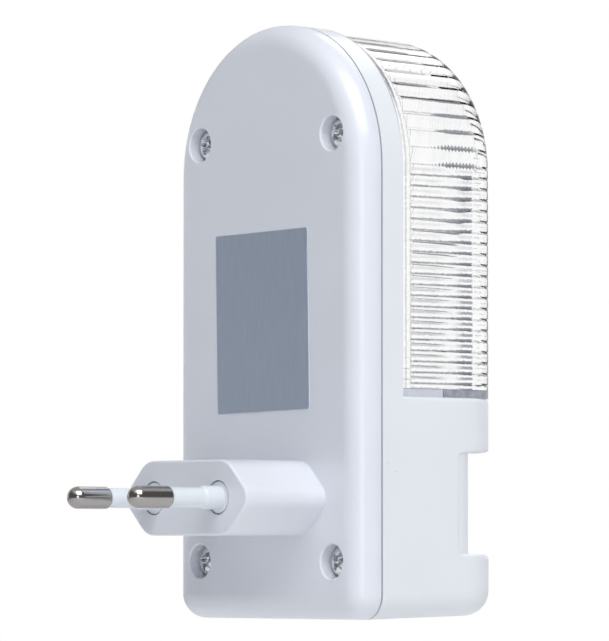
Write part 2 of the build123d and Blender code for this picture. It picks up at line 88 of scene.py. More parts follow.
def maths(tree, operation, first, second=0.0):
    """Result of one maths node on two numbers, each a constant or another node's output."""
    values = {0: first, 1: second}
    return add_node(tree, "ShaderNodeMath", values, operation=operation).outputs["Value"]


def times(tree, *values):
    """Product of several numbers."""
    product = values[0]
    for value in values[1:]:
        product = maths(tree, "MULTIPLY", product, value)
    return product


def ramp(tree, value, low, high, at_low, at_high, smooth=False):
    """A number carried from the range low-high to the range at_low-at_high, and held there."""
    values = {"Value": value, "From Min": low, "From Max": high, "To Min": at_low, "To Max": at_high}
    kind = "SMOOTHSTEP" if smooth else "LINEAR"
    made = add_node(tree, "ShaderNodeMapRange", values, interpolation_type=kind)
    return made.outputs["Result"]


def blend(tree, factor, first, second, data_type="RGBA", **settings):
    """Colour, or number for the type FLOAT, between two others by a factor from 0 to 1."""
    values = {"Factor": factor, "A": first, "B": second}
    made = add_node(tree, "ShaderNodeMix", values, data_type=data_type, **settings)
    return made.outputs["Result"]


def object_position(tree):
    """Place on the piece in its own coordinates, in metres."""
    return add_node(tree, "ShaderNodeTexCoord").outputs["Object"]


def noise(tree, position, scale, detail=2.0, roughness=0.5):
    """Smooth noise whose features are about 1 / scale metres wide."""
    values = {"Vector": position, "Scale": scale, "Detail": detail, "Roughness": roughness}
    return add_node(tree, "ShaderNodeTexNoise", values).outputs["Fac"]


def new_material(name, **sockets):
    """A material with one Principled BSDF, whose sockets are set by name, and its tree."""
    material = bpy.data.materials.new(name)
    material.use_nodes = True
    tree = material.node_tree
    shader = tree.nodes["Principled BSDF"]
    for key, value in sockets.items():
        shader.inputs[key.replace("_", " ")].default_value = value
    return material, tree, shader


sharp_from = radians(30.0)


def new_piece(name, vertices, faces, material):
    """Links a mesh object at the origin, shaded smooth except over its sharp edges."""
    mesh = bpy.data.meshes.new(name)
    mesh.from_pydata([tuple(v) for v in vertices], [], [tuple(f) for f in faces])
    mesh.validate()
    mesh.materials.append(material)
    mesh.shade_smooth()
    mesh.set_sharp_from_angle(angle=sharp_from)
    piece = bpy.data.objects.new(name, mesh)
    bpy.context.scene.collection.objects.link(piece)
    return piece


floor_height = -0.10
floor_half = 3.0
floor_tone = (0.93, 0.95)
floor_glow = (0.08, 0.80)
glow_distances = (0.3, 1.3)
unevenness = 3.0
white = (1.0, 1.0, 1.0, 1.0)
floor_material, tree, shader = new_material("pale_floor", Roughness=0.9, Emission_Color=white)
floor_shade = ramp(tree, noise(tree, object_position(tree), unevenness), 0.0, 1.0, *floor_tone)
feed(tree, shader.inputs["Base Color"], floor_shade)
from_below = add_node(tree, "ShaderNodeNewGeometry").outputs["Backfacing"]
feed(tree, shader.inputs["Alpha"], maths(tree, "SUBTRACT", 1.0, from_below))
seen_directly = add_node(tree, "ShaderNodeLightPath").outputs["Is Camera Ray"]
from_middle = add_node(tree, "ShaderNodeVectorMath", {0: object_position(tree)}, operation="LENGTH")
glow = ramp(tree, from_middle.outputs["Value"], *glow_distances, *floor_glow, smooth=True)
feed(tree, shader.inputs["Emission Strength"], times(tree, seen_directly, glow))
corners = ((-1, -1), (1, -1), (1, 1), (-1, 1))
floor = new_piece(
    "floor",
    [(x * floor_half, y * floor_half, floor_height) for x, y in corners],
    [(0, 1, 2, 3)],
    floor_material,
)

# ---------------------------------------------------------------- studio room and lamps
# A white backdrop to the eye, and white all round through clear plastic. In gloss the room shows
# the white backdrop and a pale ceiling, with darker walls between them.

room_strength_behind = 0.18
room_strength_in_front = 0.31
room_tint = (0.86, 0.91, 1.0, 1.0)
wall_strength_in_gloss = 0.16
ceiling_strength_in_gloss = 0.60
ceiling_edge = (0.55, 0.80)
backdrop_side_edge = (0.20, 0.55)
backdrop_top_edge = (0.12, 0.26)
backdrop_strength_at_top = 0.6


def mix_numbers(tree, factor, first, second):
    """Number between two others by a factor from 0 to 1."""
    return blend(tree, factor, first, second, data_type="FLOAT")


def largest(tree, *values):
    """The largest of several numbers."""
    so_far = values[0]
    for value in values[1:]:
        so_far = maths(tree, "MAXIMUM", so_far, value)
    return so_far


world = bpy.data.worlds.new("studio_room")
world.use_nodes = True
bpy.context.scene.world = world
tree = world.node_tree
background = tree.nodes["Background"]
direction = add_node(tree, "ShaderNodeTexCoord").outputs["Generated"]
parts = add_node(tree, "ShaderNodeSeparateXYZ", {"Vector": direction}).outputs
height = parts["Z"]
ray_and_backdrop = {0: direction, 1: (sin(camera_turn), -cos(camera_turn), 0.0)}
facing = add_node(tree, "ShaderNodeVectorMath", ray_and_backdrop, operation="DOT_PRODUCT")
backdrop = ramp(tree, facing.outputs["Value"], *backdrop_side_edge, 0.0, 1.0, smooth=True)
dimmer_above = ramp(tree, height, *backdrop_top_edge, 1.0, backdrop_strength_at_top, smooth=True)
backdrop = times(tree, backdrop, dimmer_above)
ceiling = ramp(tree, height, *ceiling_edge, 0.0, ceiling_strength_in_gloss, smooth=True)
in_gloss = largest(tree, backdrop, ceiling, wall_strength_in_gloss)
room = ramp(tree, parts["Y"], -1.0, 1.0, room_strength_in_front, room_strength_behind)
rays = add_node(tree, "ShaderNodeLightPath").outputs
strength = mix_numbers(tree, rays["Is Glossy Ray"], room, in_gloss)
strength = mix_numbers(tree, rays["Is Transmission Ray"], strength, 1.0)
strength = mix_numbers(tree, rays["Is Camera Ray"], strength, 1.0)
seen = largest(tree, rays["Is Camera Ray"], rays["Is Glossy Ray"], rays["Is Transmission Ray"])
feed(tree, background.inputs["Color"], blend(tree, seen, room_tint, white))
feed(tree, background.inputs["Strength"], strength)


def add_softbox(name, place, size, power, in_reflections=True):
    """A square area lamp at a place, facing the middle of the light."""
    data = bpy.data.lights.new(name, "AREA")
    data.shape = "SQUARE"
    data.size = size
    data.energy = power
    lamp = bpy.data.objects.new(name, data)
    lamp.location = place
    middle = Vector((0.0, -0.035, 0.03))
    lamp.rotation_euler = (middle - Vector(place)).to_track_quat("-Z", "Y").to_euler()
    lamp.visible_camera = False
    lamp.visible_glossy = in_reflections
    lamp.visible_transmission = False
    bpy.context.scene.collection.objects.link(lamp)


add_softbox("key_softbox", (-0.66, 0.26, 0.85), 0.9, 9.8)
add_softbox("fill_softbox", (-1.15, 0.90, 0.17), 0.5, 1.8)
add_softbox("rear_softbox", (-0.35, 0.75, 1.10), 0.8, 1.3)
add_softbox("top_softbox", (0.36, -0.88, 1.03), 0.7, 2.4)
add_softbox("front_softbox", (0.95, -1.25, 0.17), 0.5, 10.0, in_reflections=False)

# ---------------------------------------------------------------- moulded plastic
# What the white mouldings have in common: a very slight unevenness of tone and gloss, a skin
# that is not quite flat where thick sections sank, and a few specks caught in the plastic.


def new_group(name, inputs, outputs):
    """An empty shader node group; inputs are (name, kind, default), outputs (name, kind)."""
    group = bpy.data.node_groups.new(name, "ShaderNodeTree")
    add_socket = group.interface.new_socket
    for title, kind, default in inputs:
        socket = add_socket(name=title, in_out="INPUT", socket_type="NodeSocket" + kind)
        socket.default_value = default
    for title, kind in outputs:
        add_socket(name=title, in_out="OUTPUT", socket_type="NodeSocket" + kind)
    given = group.nodes.new("NodeGroupInput").outputs
    result = group.nodes.new("NodeGroupOutput").inputs
    return group, given, result


def place_group(tree, group, shader, **values):
    """Puts a group into a material: values for its inputs, and its outputs to the shader's."""
    made = add_node(tree, "ShaderNodeGroup", node_tree=group)
    for key, value in values.items():
        feed(tree, made.inputs[key.replace("_", " ")], value)
    for output in made.outputs:
        socket = "Base Color" if output.name == "Colour" else output.name
        feed(tree, shader.inputs[socket], output)


def bump(tree, height, depth):
    """Normal of a surface raised by a height from 0 to 1 times a depth in metres."""
    values = {"Strength": 1.0, "Distance": depth, "Height": height}
    return add_node(tree, "ShaderNodeBump", values).outputs["Normal"]


def toned(tree, colour, tone):
    """A colour made lighter or darker by a number."""
    return blend(tree, 1.0, colour, tone, blend_type="MULTIPLY")


sink_scale = 45.0
grain_scale = 2600.0
speck_scale = 260.0
speck_radii = (0.02, 0.035)
speck_strength = 0.75
speck_brown = (0.30, 0.29, 0.27, 1.0)
moulded_skin, given, result = new_group(
    "moulded_skin",
    (
        ("Colour", "Color", white),
        ("Roughness", "Float", 0.2),
        ("Sink Depth", "Float", 2e-5),
        ("Grain Depth", "Float", 5e-7),
        ("Speck Share", "Float", 0.06),
    ),
    (("Colour", "Color"), ("Roughness", "Float"), ("Normal", "Vector")),
)
tree = moulded_skin
place = object_position(tree)
broad = noise(tree, place, sink_scale, 1.0)
fine = noise(tree, place, grain_scale, 2.0)
clean = toned(tree, given["Colour"], ramp(tree, broad, 0.3, 0.7, 0.985, 1.01))
specks = add_node(tree, "ShaderNodeTexVoronoi", {"Vector": place, "Scale": speck_scale}).outputs
lot = add_node(tree, "ShaderNodeSeparateColor", {"Color": specks["Color"]}).outputs["Red"]
chosen = maths(tree, "LESS_THAN", lot, given["Speck Share"])
speck = times(tree, ramp(tree, specks["Distance"], *speck_radii, speck_strength, 0.0), chosen)
feed(tree, result["Colour"], blend(tree, speck, clean, speck_brown))
gloss_change = ramp(tree, fine, 0.0, 1.0, -0.03, 0.03)
feed(tree, result["Roughness"], maths(tree, "ADD", given["Roughness"], gloss_change))
sink = times(tree, broad, given["Sink Depth"])
skin_height = maths(tree, "ADD", sink, times(tree, fine, given["Grain Depth"]))
feed(tree, result["Normal"], bump(tree, skin_height, 1.0))


def moulded(name, colour, roughness, sink_depth=2e-5, speck_share=0.06, **sockets):
    """A moulded plastic: its colour, or the function that paints it, passes through the skin."""
    material, tree, shader = new_material(name, **sockets)
    place_group(
        tree,
        moulded_skin,
        shader,
        Colour=colour(tree) if callable(colour) else colour,
        Roughness=roughness,
        Sink_Depth=sink_depth,
        Speck_Share=speck_share,
    )
    return material


def dress(name, material):
    """Gives a CAD node its finish."""
    slots = nodes[name].data.materials
    for index in range(len(slots)):
        slots[index] = material


# ---------------------------------------------------------------- rear cover
# Shallow rear shell with the plug block, moulded in one shot of white glossy ABS. Four screws
# pull it against the front housing, and a thin lip on its edge finds the housing's wall.

# The housing's ABS white made a little darker and bluer: painted shade for the rear face's bluish
# shade.
cover_white_shaded = (0.765, 0.79, 0.855, 1.0)
cover_gloss = {"IOR": 1.5, "Coat_Weight": 0.45, "Coat_Roughness": 0.13}
dress("rear_cover", moulded("rear_cover_white", cover_white_shaded, 0.34, **cover_gloss))

# ---------------------------------------------------------------- front housing
# Deep front shell of the same ABS from another cavity, a touch duller: a white deck behind the
# lens, and below it a block with a channel across its front.

plug_length = 18.1
seam_depth = 5.2
seam_width = 0.35
rim_depth = 10.5
arch_centre = 59.4
housing_white = (0.795, 0.82, 0.862, 1.0)
# Painted shade: a grey darkening in the seam's groove, and a shadow line along the rim's edge round
# the arch.
painted_shade_grey = (0.22, 0.23, 0.27, 1.0)
seam_shade = 0.32
rim_edge_shade = 0.85
rim_edge_width = 0.30
shade_blur = 0.12


def position_in_mm(tree):
    """The three coordinates of a place on the piece, in millimetres."""
    values = {0: object_position(tree), "Scale": 1 / mm}
    in_mm = add_node(tree, "ShaderNodeVectorMath", values, operation="SCALE").outputs["Vector"]
    return add_node(tree, "ShaderNodeSeparateXYZ", {"Vector": in_mm}).outputs


def depth_and_height(tree):
    """Depth from the casing's rear face and height above the pins, both in millimetres."""
    parts = position_in_mm(tree)
    return maths(tree, "SUBTRACT", -plug_length, parts["Y"]), parts["Z"]


def apart(tree, first, second):
    """How far two numbers are apart."""
    return maths(tree, "ABSOLUTE", maths(tree, "SUBTRACT", first, second))


def around(tree, value, middle, half_width, blur):
    """1 within a half-width of a middle value and 0 past it, with a blurred edge."""
    past = maths(tree, "SUBTRACT", apart(tree, value, middle), half_width)
    return ramp(tree, past, 0.0, blur, 1.0, 0.0)


def housing_colour(tree):
    """White, with painted shade in the seam and a painted shadow along the rim's upper edge against
    the lens.
    """
    depth, height = depth_and_height(tree)
    in_seam = around(tree, depth, seam_depth + seam_width / 2, seam_width / 2, shade_blur)
    at_edge = around(tree, depth, rim_depth, rim_edge_width / 2, shade_blur)
    upper = ramp(tree, height, arch_centre + 2.0, arch_centre + 15.0, 0.0, rim_edge_shade, smooth=True)
    painted_shade = largest(tree, times(tree, in_seam, seam_shade), times(tree, at_edge, upper))
    return blend(tree, painted_shade, housing_white, painted_shade_grey)


dress("front_housing", moulded("front_housing_white", housing_colour, 0.30, IOR=1.48))

# ---------------------------------------------------------------- plug pins
# Two turned brass pins with a bright nickel plate, pressed into the plug block, each in a white
# insulating sleeve. They lean towards each other.

smear_brown = (0.42, 0.38, 0.33, 1.0)
turned_metal, given, result = new_group(
    "turned_metal",
    (("Colour", "Color", white), ("Roughness", "Float", 0.1), ("Line Depth", "Float", 2e-7)),
    (("Colour", "Color"), ("Roughness", "Float"), ("Normal", "Vector")),
)
tree = turned_metal
place = object_position(tree)
along = add_node(tree, "ShaderNodeMapping", {"Vector": place, "Scale": (0.06, 1.0, 0.06)})
lines = noise(tree, along.outputs["Vector"], 9000.0, 3.0)
smears = noise(tree, place, 700.0, 3.0)
dulled = ramp(tree, smears, 0.45, 0.75, 0.0, 0.25)
feed(tree, result["Colour"], blend(tree, dulled, given["Colour"], smear_brown))
rougher_lines = ramp(tree, lines, 0.3, 0.7, -0.03, 0.05)
rougher_smears = ramp(tree, smears, 0.4, 0.8, 0.0, 0.10)
uneven = maths(tree, "ADD", rougher_lines, rougher_smears)
feed(tree, result["Roughness"], maths(tree, "ADD", given["Roughness"], uneven))
feed(tree, result["Normal"], bump(tree, lines, given["Line Depth"]))


def metal(name, colour, roughness, line_depth):
    """A bare or plated metal, turned or drawn: its colour and gloss pass through the lines."""
    material, tree, shader = new_material(name, Metallic=1.0)
    finish = {"Colour": colour, "Roughness": roughness, "Line_Depth": line_depth}
    place_group(tree, turned_metal, shader, **finish)
    return material


nickel_plate = metal("nickel_plate", (0.42, 0.40, 0.39, 1.0), 0.09, 4e-7)
dress("left_pin", nickel_plate)
dress("right_pin", nickel_plate)

# ---------------------------------------------------------------- pin sleeves
# White insulating sleeves moulded round the pins' thin cores, with a thicker collar where they
# enter the plug block.

sleeve_white = moulded("sleeve_white", (0.74, 0.785, 0.83, 1.0), 0.26, speck_share=0.0)
dress("left_pin_sleeve", sleeve_white)
dress("right_pin_sleeve", sleeve_white)

# ---------------------------------------------------------------- rating label
# A rectangle of satin silver foil, stuck on the rear face a little askew. It is left bare.

foil_silver = (0.58, 0.68, 0.84, 1.0)
foil_pale = (0.66, 0.75, 0.90, 1.0)


def paint(tree, shader, mask, first, second):
    """Gives a surface the colour between two others, by a mask from 0 to 1."""
    feed(tree, shader.inputs["Base Color"], blend(tree, mask, first, second))


foil, tree, shader = new_material("silver_foil", Metallic=0.9)
place = object_position(tree)
stretched = add_node(tree, "ShaderNodeMapping", {"Vector": place, "Scale": (1.0, 1.0, 0.03)})
foil_lines = noise(tree, stretched.outputs["Vector"], 6000.0, 2.0)
paint(tree, shader, ramp(tree, foil_lines, 0.3, 0.7, 0.0, 1.0), foil_silver, foil_pale)
feed(tree, shader.inputs["Roughness"], ramp(tree, foil_lines, 0.0, 1.0, 0.30, 0.42))
crinkle = times(tree, noise(tree, place, 120.0, 1.0), 1.5e-5)
line_height = times(tree, foil_lines, 3e-7)
feed(tree, shader.inputs["Normal"], bump(tree, maths(tree, "ADD", crinkle, line_height), 1.0))
dress("rating_label", foil)

# ---------------------------------------------------------------- case screws
# Four self-tapping steel screws, bright zinc plated, with pan heads and cross recesses. Each
# sits at the bottom of its hole in the rear cover, turned as the screwdriver left it.

zinc_plate = metal("zinc_plate", (0.88, 0.90, 0.92, 1.0), 0.12, 0.0)


def grid_faces(rows, columns):
    """Quads over a grid of rows by columns, whose last column joins its first."""
    row, column = np.meshgrid(np.arange(rows - 1), np.arange(columns), indexing="ij")
    after = (column + 1) % columns
    near = row * columns
    far = near + columns
    quads = np.stack((near + column, near + after, far + after, far + column), axis=-1)
    return quads.reshape(-1, 4)


def tidy_mesh(piece, gap=1e-7):
    """Joins the doubled points of seams and poles, and turns every face outwards."""
    work = bmesh.new()
    work.from_mesh(piece.data)
    bmesh.ops.remove_doubles(work, verts=work.verts, dist=gap)
    bmesh.ops.recalc_face_normals(work, faces=work.faces)
    work.to_mesh(piece.data)
    work.free()
    piece.data.set_sharp_from_angle(angle=sharp_from)


def screw_points(place, turn, seat, head_radius, head_height, radius, length, pitch, recess_span):
    """Points of one cross-head screw on rings from the head's middle to the tip.

    The head is a shallow dome, its radius raised to the fourth power, with a cross pressed in:
    two slots at right angles whose walls slope in to a flat floor. The shank carries a thread
    whose crest climbs by one pitch for each turn. The screw points to the front, along -Y.
    """
    dome_share = 0.42
    slot_half_width = 0.16 * head_radius
    slot_wall = 0.10
    hub_radius = 0.34 * head_radius
    recess_share = 0.62
    rim_share = 0.30
    root_share = 0.80
    around = np.linspace(0.0, 2 * pi, 96, endpoint=False)
    radii = np.linspace(0.0, 1.0, 34)[:, None] * head_radius
    dome = head_height * (1.0 - dome_share * (radii / head_radius) ** 4) + 0 * around
    near_arm = np.minimum(np.abs(radii * np.cos(around)), np.abs(radii * np.sin(around)))
    slot = np.clip((slot_half_width + slot_wall - near_arm) / slot_wall, 0.0, 1.0)
    reach = np.clip((recess_span / 2 - radii) / 0.30, 0.0, 1.0)
    hub = np.clip((hub_radius - radii) / 0.12, 0.0, 1.0)
    cross = np.maximum(np.minimum(slot, reach), hub)
    head_rise = dome - recess_share * head_height * cross
    drops = np.linspace(0.0, length, int(length / pitch * 12))[:, None]
    phase = (drops / pitch - around / (2 * pi)) % 1.0
    thread = radius * (root_share + (1.0 - root_share) * (1.0 - np.abs(2.0 * phase - 1.0)))
    taper = np.clip((length - drops) / (1.6 * radius), 0.02, 1.0)
    under = np.array(
        [
            [head_radius, head_height * rim_share],
            [head_radius * 0.98, 0.0],
            [radius * root_share, 0.0],
        ]
    )
    ring_radii = np.concatenate((radii + 0 * around, under[:, :1] + 0 * around, thread * taper))
    rises = np.concatenate((head_rise, under[:, 1:] + 0 * around, -drops + 0 * around))
    end = np.full((1, len(around)), rises[-1, 0])
    ring_radii = np.concatenate((ring_radii, 0 * end))
    rises = np.concatenate((rises, end))
    x = place[0] + ring_radii * np.cos(around + turn)
    z = place[1] + ring_radii * np.sin(around + turn)
    return np.stack((x, seat + rises, z), axis=-1)


def piece_of_grids(name, grids, material):
    """One piece from equal forms, each a closed grid of points in millimetres."""
    vertices = []
    faces = []
    for points in grids:
        rows, columns = points.shape[:2]
        faces.append(grid_faces(rows, columns) + sum(map(len, vertices)))
        vertices.append(points.reshape(-1, 3) * mm)
    piece = new_piece(name, np.concatenate(vertices), np.concatenate(faces), material)
    tidy_mesh(piece)
    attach(piece, "root")
    return piece


def add_screws(name, node_name, places, turns, **sizes):
    """One piece for a set of equal screws, turned by degrees, in place of the node it replaces."""
    grids = [screw_points(place, radians(turn), **sizes) for place, turn in zip(places, turns)]
    screws = piece_of_grids(name, grids, zinc_plate)
    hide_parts(node_name)


screw_places = [(x, z) for x in (-19.1, 19.1) for z in (-11.4, 65.3)]
add_screws(
    "case_screws_cross_head",
    "case_screws",
    screw_places,
    (37.0, 52.0, 31.0, 24.0),
    seat=-(plug_length + 3.6),
    head_radius=2.7,
    head_height=2.2,
    radius=1.45,
    length=8.0,
    pitch=1.1,
    recess_span=3.6,
)

# ---------------------------------------------------------------- lens
# Clear polystyrene cap over the lamps, glued by its skirt inside the housing's rim. V grooves
# run along its sides and across its front, level below the arch and like a fan round it, and
# between them the plastic bulges slightly.

lens_bottom = 18.14
lens_front = 36.3
lens_corner = 8.2
lens_wall = 1.9
foot_wall = 1.5
side_inset = 26.1
skirt_inset = 25.18
ring_depth = 9.04
draft_angle = radians(2.0)
draft = tan(draft_angle)
first_groove = 20.6
groove_pitch = 1.975
groove_rows = 20
fan_start = radians(1.6)
fan_steps = 25
fan_step = (pi - 2 * fan_start) / fan_steps
groove_start = 12.8
mitre_length = 1.0
groove_half_width = 0.25
groove_depth = 0.20
bulge = 0.10


def lens_profile(side, front, corner, rear):
    """Radius and depth along the lens from its rear edge to the middle of its front.

    The side narrows by the draft, turns through a round corner and goes on flat to the middle.
    """
    corner_depth = front - corner
    corner_radius = side - (corner_depth - seam_depth) * draft - corner / cos(draft_angle)
    turn = np.linspace(draft_angle, pi / 2, 13)
    near_start = groove_start + np.array([-2.1, -1.2, -0.4, -0.01, 0.2, 0.5, 0.8, 1.1])
    along_side = np.linspace(groove_start + 2.2, corner_depth, 12)[:-1]
    side_depths = np.concatenate((near_start, along_side))
    side_depths = side_depths[side_depths > rear]
    side_radii = side - (side_depths - seam_depth) * draft
    flat = np.concatenate((np.linspace(corner_radius, 10.5, 6)[1:], [9.8, 9.0, 6.0, 3.0, 0.0]))
    radii = np.concatenate((side_radii, corner_radius + corner * np.cos(turn), flat))
    round_depths = corner_depth + corner * np.sin(turn)
    depths = np.concatenate((side_depths, round_depths, np.full(len(flat), front)))
    return radii, depths


def lens_path():
    """Places along the lens's outline, from its right foot over the arch to its left foot.

    Each place has an angle on the arch, a drop below the arch's foot on the straight sides, its
    distance from the nearest groove in millimetres, and its share of the way between two.
    """
    straight = arch_centre - lens_bottom
    arch = side_inset * pi
    rows = first_groove + groove_pitch * np.arange(groove_rows) - lens_bottom
    fan = straight + (fan_start + fan_step * np.arange(fan_steps + 1)) * side_inset
    whole = 2 * straight + arch
    grooves = np.concatenate((rows, fan, whole - rows[::-1]))
    edges = np.concatenate(([-0.5], grooves, [whole + 0.5]))
    near = np.array([0.0, 0.09, 0.17, 0.25, 0.36])
    inner = np.array([-0.42, -0.28, -0.14, 0.0, 0.14, 0.28, 0.42])
    starts = edges[:-1, None] + near
    ends = edges[1:, None] - near
    middles = (edges[:-1, None] + edges[1:, None]) / 2 + inner
    marks = [0.0, foot_wall, straight, straight + arch, whole - foot_wall, whole]
    lengths = np.concatenate((starts.ravel(), ends.ravel(), middles.ravel(), marks))
    lengths = np.unique(np.round(lengths, 4))
    lengths = lengths[(lengths >= 0.0) & (lengths <= round(whole, 4))]
    index = np.clip(np.searchsorted(grooves, lengths), 1, len(grooves) - 1)
    before = grooves[index - 1]
    after = grooves[index]
    distance = np.minimum(np.abs(lengths - before), np.abs(after - lengths))
    share = np.clip((lengths - before) / (after - before), 0.0, 1.0)
    angle = np.clip((lengths - straight) / side_inset, 0.0, pi)
    drop = np.maximum(np.maximum(straight - lengths, lengths - straight - arch), 0.0)
    return angle, drop, distance, share


def lens_points(radii, depths, angle, drop, foot):
    """Points of the profile carried along the outline: a fan round the arch, level below it."""
    level = arch_centre - drop * (arch_centre - foot) / (arch_centre - lens_bottom)
    x = radii * np.cos(angle)
    z = level + radii * np.sin(angle)
    return np.stack((x, -(plug_length + depths) + 0 * x, z), axis=-1)


angle, drop, distance, share = lens_path()
side_radii, side_depths = lens_profile(side_inset, lens_front, lens_corner, rim_depth)
slope_turn = np.clip((side_depths - (lens_front - lens_corner)) / lens_corner, 0.0, 1.0)
normal_out = np.where(side_depths < lens_front - lens_corner, draft_angle, np.arcsin(slope_turn))
fan_fade = np.interp(side_radii, (9.0, 12.0, 18.0, 22.0, 25.2), (0.0, 0.06, 0.10, 0.5, 1.0))
row_fade = np.interp(side_radii, (0.0, 18.0, 22.0, 25.2), (0.16, 0.16, 0.25, 1.0))
top_fade = np.interp(np.minimum(angle, pi - angle), (radians(40.0), radians(54.0)), (1.0, 0.6))
fade = np.where(drop > 0.0, row_fade[:, None], fan_fade[:, None] * top_fade)
mitre = np.clip((side_depths[:, None] - groove_start) / mitre_length, 0.0, 1.0)
valley = groove_depth * np.clip(1.0 - distance / groove_half_width, 0.0, 1.0)
crown = bulge * (2.0 * share - 1.0) ** 2
cut = fade * np.minimum(valley + crown, (groove_depth + bulge) * mitre)
outer_radii = side_radii[:, None] - cut * np.cos(normal_out)[:, None]
outer_depths = side_depths[:, None] - cut * np.sin(normal_out)[:, None]
skirt = np.array([[skirt_inset, ring_depth], [skirt_inset, rim_depth], [side_radii[0], rim_depth]])
skirt = skirt[:, :, None] + 0 * angle
outer_radii = np.concatenate((skirt[:, 0], outer_radii))
outer_depths = np.concatenate((skirt[:, 1], outer_depths))
outer = lens_points(outer_radii, outer_depths, angle, drop, lens_bottom)
inner_side = side_inset - lens_wall
inner_front = lens_front - lens_wall
inner_corner = lens_corner - lens_wall
inner_radii, inner_depths = lens_profile(inner_side, inner_front, inner_corner, ring_depth)
inner_radii = np.concatenate(([inner_side], inner_radii))[:, None] + 0 * angle
inner_depths = np.concatenate(([ring_depth], inner_depths))[:, None] + 0 * angle
inner = lens_points(inner_radii, inner_depths, angle, drop, lens_bottom + foot_wall)

columns = len(angle)
outer_faces = grid_faces(outer.shape[0], columns)
inner_base = outer.shape[0] * columns
inner_faces = grid_faces(inner.shape[0], columns)[:, ::-1] + inner_base
ring = np.arange(columns)
ring_after = (ring + 1) % columns
ring_faces = np.stack((ring_after, ring, inner_base + ring, inner_base + ring_after), axis=-1)


def clear_plastic(name, **sockets):
    """A clear plastic, which lets most of the lamps' light straight through, as thin walls do."""
    lamplight_through = 0.85
    material, tree, shader = new_material(name, Transmission_Weight=1.0, **sockets)
    shadow_ray = add_node(tree, "ShaderNodeLightPath").outputs["Is Shadow Ray"]
    let_through = times(tree, shadow_ray, lamplight_through)
    feed(tree, shader.inputs["Alpha"], maths(tree, "SUBTRACT", 1.0, let_through))
    return material, tree, shader


# Painted shade: the dark lines and bands that the grooves show, where the ribbed plastic bends light
# away.
groove_shadow = (0.028, 0.031, 0.055, 1.0)
ribbed, tree, shader = clear_plastic("ribbed_polystyrene", Roughness=0.03, IOR=1.33)
place = object_position(tree)
parts = position_in_mm(tree)
across = maths(tree, "ABSOLUTE", parts["X"])
depth, height = depth_and_height(tree)
rough_edge = ramp(tree, noise(tree, place, 1900.0, 3.0, 0.7), 0.3, 0.7, -0.12, 0.12)
patches = noise(tree, place, 420.0, 1.0)

# Where a place lies between two grooves: a share of the rib, and millimetres to the nearest
# valley and to the rib's middle. Round the arch the ribs widen from its centre outwards.
above = maths(tree, "SUBTRACT", height, arch_centre)
on_arch = maths(tree, "GREATER_THAN", above, 0.0)
turn = maths(tree, "ARCTAN2", above, across)
squares = maths(tree, "ADD", times(tree, above, above), times(tree, across, across))
fan_pitch = times(tree, maths(tree, "SQRT", squares), fan_step)
pitch = mix_numbers(tree, on_arch, groove_pitch, fan_pitch)
row = maths(tree, "DIVIDE", maths(tree, "SUBTRACT", height, first_groove), groove_pitch)
fan = maths(tree, "DIVIDE", maths(tree, "SUBTRACT", turn, fan_start), fan_step)
rib = maths(tree, "ADD", mix_numbers(tree, on_arch, row, fan), 40.0)
share_of_rib = maths(tree, "FRACT", rib)
to_nearer = maths(tree, "MINIMUM", share_of_rib, maths(tree, "SUBTRACT", 1.0, share_of_rib))
to_valley = maths(tree, "ADD", times(tree, to_nearer, pitch), rough_edge)
off_middle = times(tree, apart(tree, share_of_rib, 0.5), pitch)
to_middle = maths(tree, "ADD", off_middle, rough_edge)

# Level rows, in painted shade: a dark line in each valley and a band on each rib, both stronger near
# the front.
late = ramp(tree, depth, 21.0, 27.0, 0.0, 1.0, smooth=True)
line_width = ramp(tree, late, 0.0, 1.0, 0.10, 0.26)
line_strength = ramp(tree, late, 0.0, 1.0, 0.80, 0.95)
row_lines = times(tree, around(tree, to_valley, 0.0, line_width, 0.10), line_strength)
early_band = ramp(tree, depth, 19.0, 22.0, 0.50, 0.10)
late_band = ramp(tree, late, 0.3, 0.9, 0.0, 0.75)
low_rows = ramp(tree, height, 34.0, 46.0, 1.15, 0.45, smooth=True)
row_bands = around(tree, to_middle, 0.0, 0.20, 0.14)
row_bands = times(tree, row_bands, largest(tree, early_band, late_band), low_rows)
on_side = ramp(tree, depth, 27.9, 28.2, 1.0, 0.0)
rows_shade = times(tree, largest(tree, row_lines, row_bands), on_side)

# Round the arch, in painted shade: a dark wedge in each valley that swells and fades out, notched in
# the lowest two, and past the steep part a pair of fine lines, until both are lost towards the top.
steep = ramp(tree, turn, radians(29.0), radians(37.0), 0.0, 1.0, smooth=True)
swell_middle = ramp(tree, steep, 0.0, 1.0, 25.4, 17.0)
swell = ramp(tree, apart(tree, depth, swell_middle), 2.5, 8.0, 1.0, 0.0, smooth=True)
notches = maths(tree, "SINE", times(tree, depth, 7.6))
notch_depth = ramp(tree, turn, radians(10.0), radians(14.0), 0.26, 0.0)
ragged = times(tree, notches, notch_depth, ramp(tree, swell, 0.2, 1.0, 1.0, 0.7))
wedge_width = maths(tree, "ADD", ramp(tree, swell, 0.0, 1.0, -0.25, 0.36), ragged)
wedge_strength = ramp(tree, turn, radians(36.0), radians(56.0), 0.90, 0.08)
wedge = times(tree, around(tree, to_valley, 0.0, wedge_width, 0.12), wedge_strength)
pair_starts = ramp(tree, turn, radians(13.0), radians(23.0), 0.0, 0.6)
pair_ends = ramp(tree, turn, radians(38.0), radians(52.0), 1.0, 0.10)
pair = times(tree, around(tree, to_valley, 0.26, 0.04, 0.10), pair_starts, pair_ends)
fan_fades = ramp(tree, depth, 28.0, 31.5, 1.0, 0.15)
fan_shade = times(tree, largest(tree, wedge, pair), fan_fades)
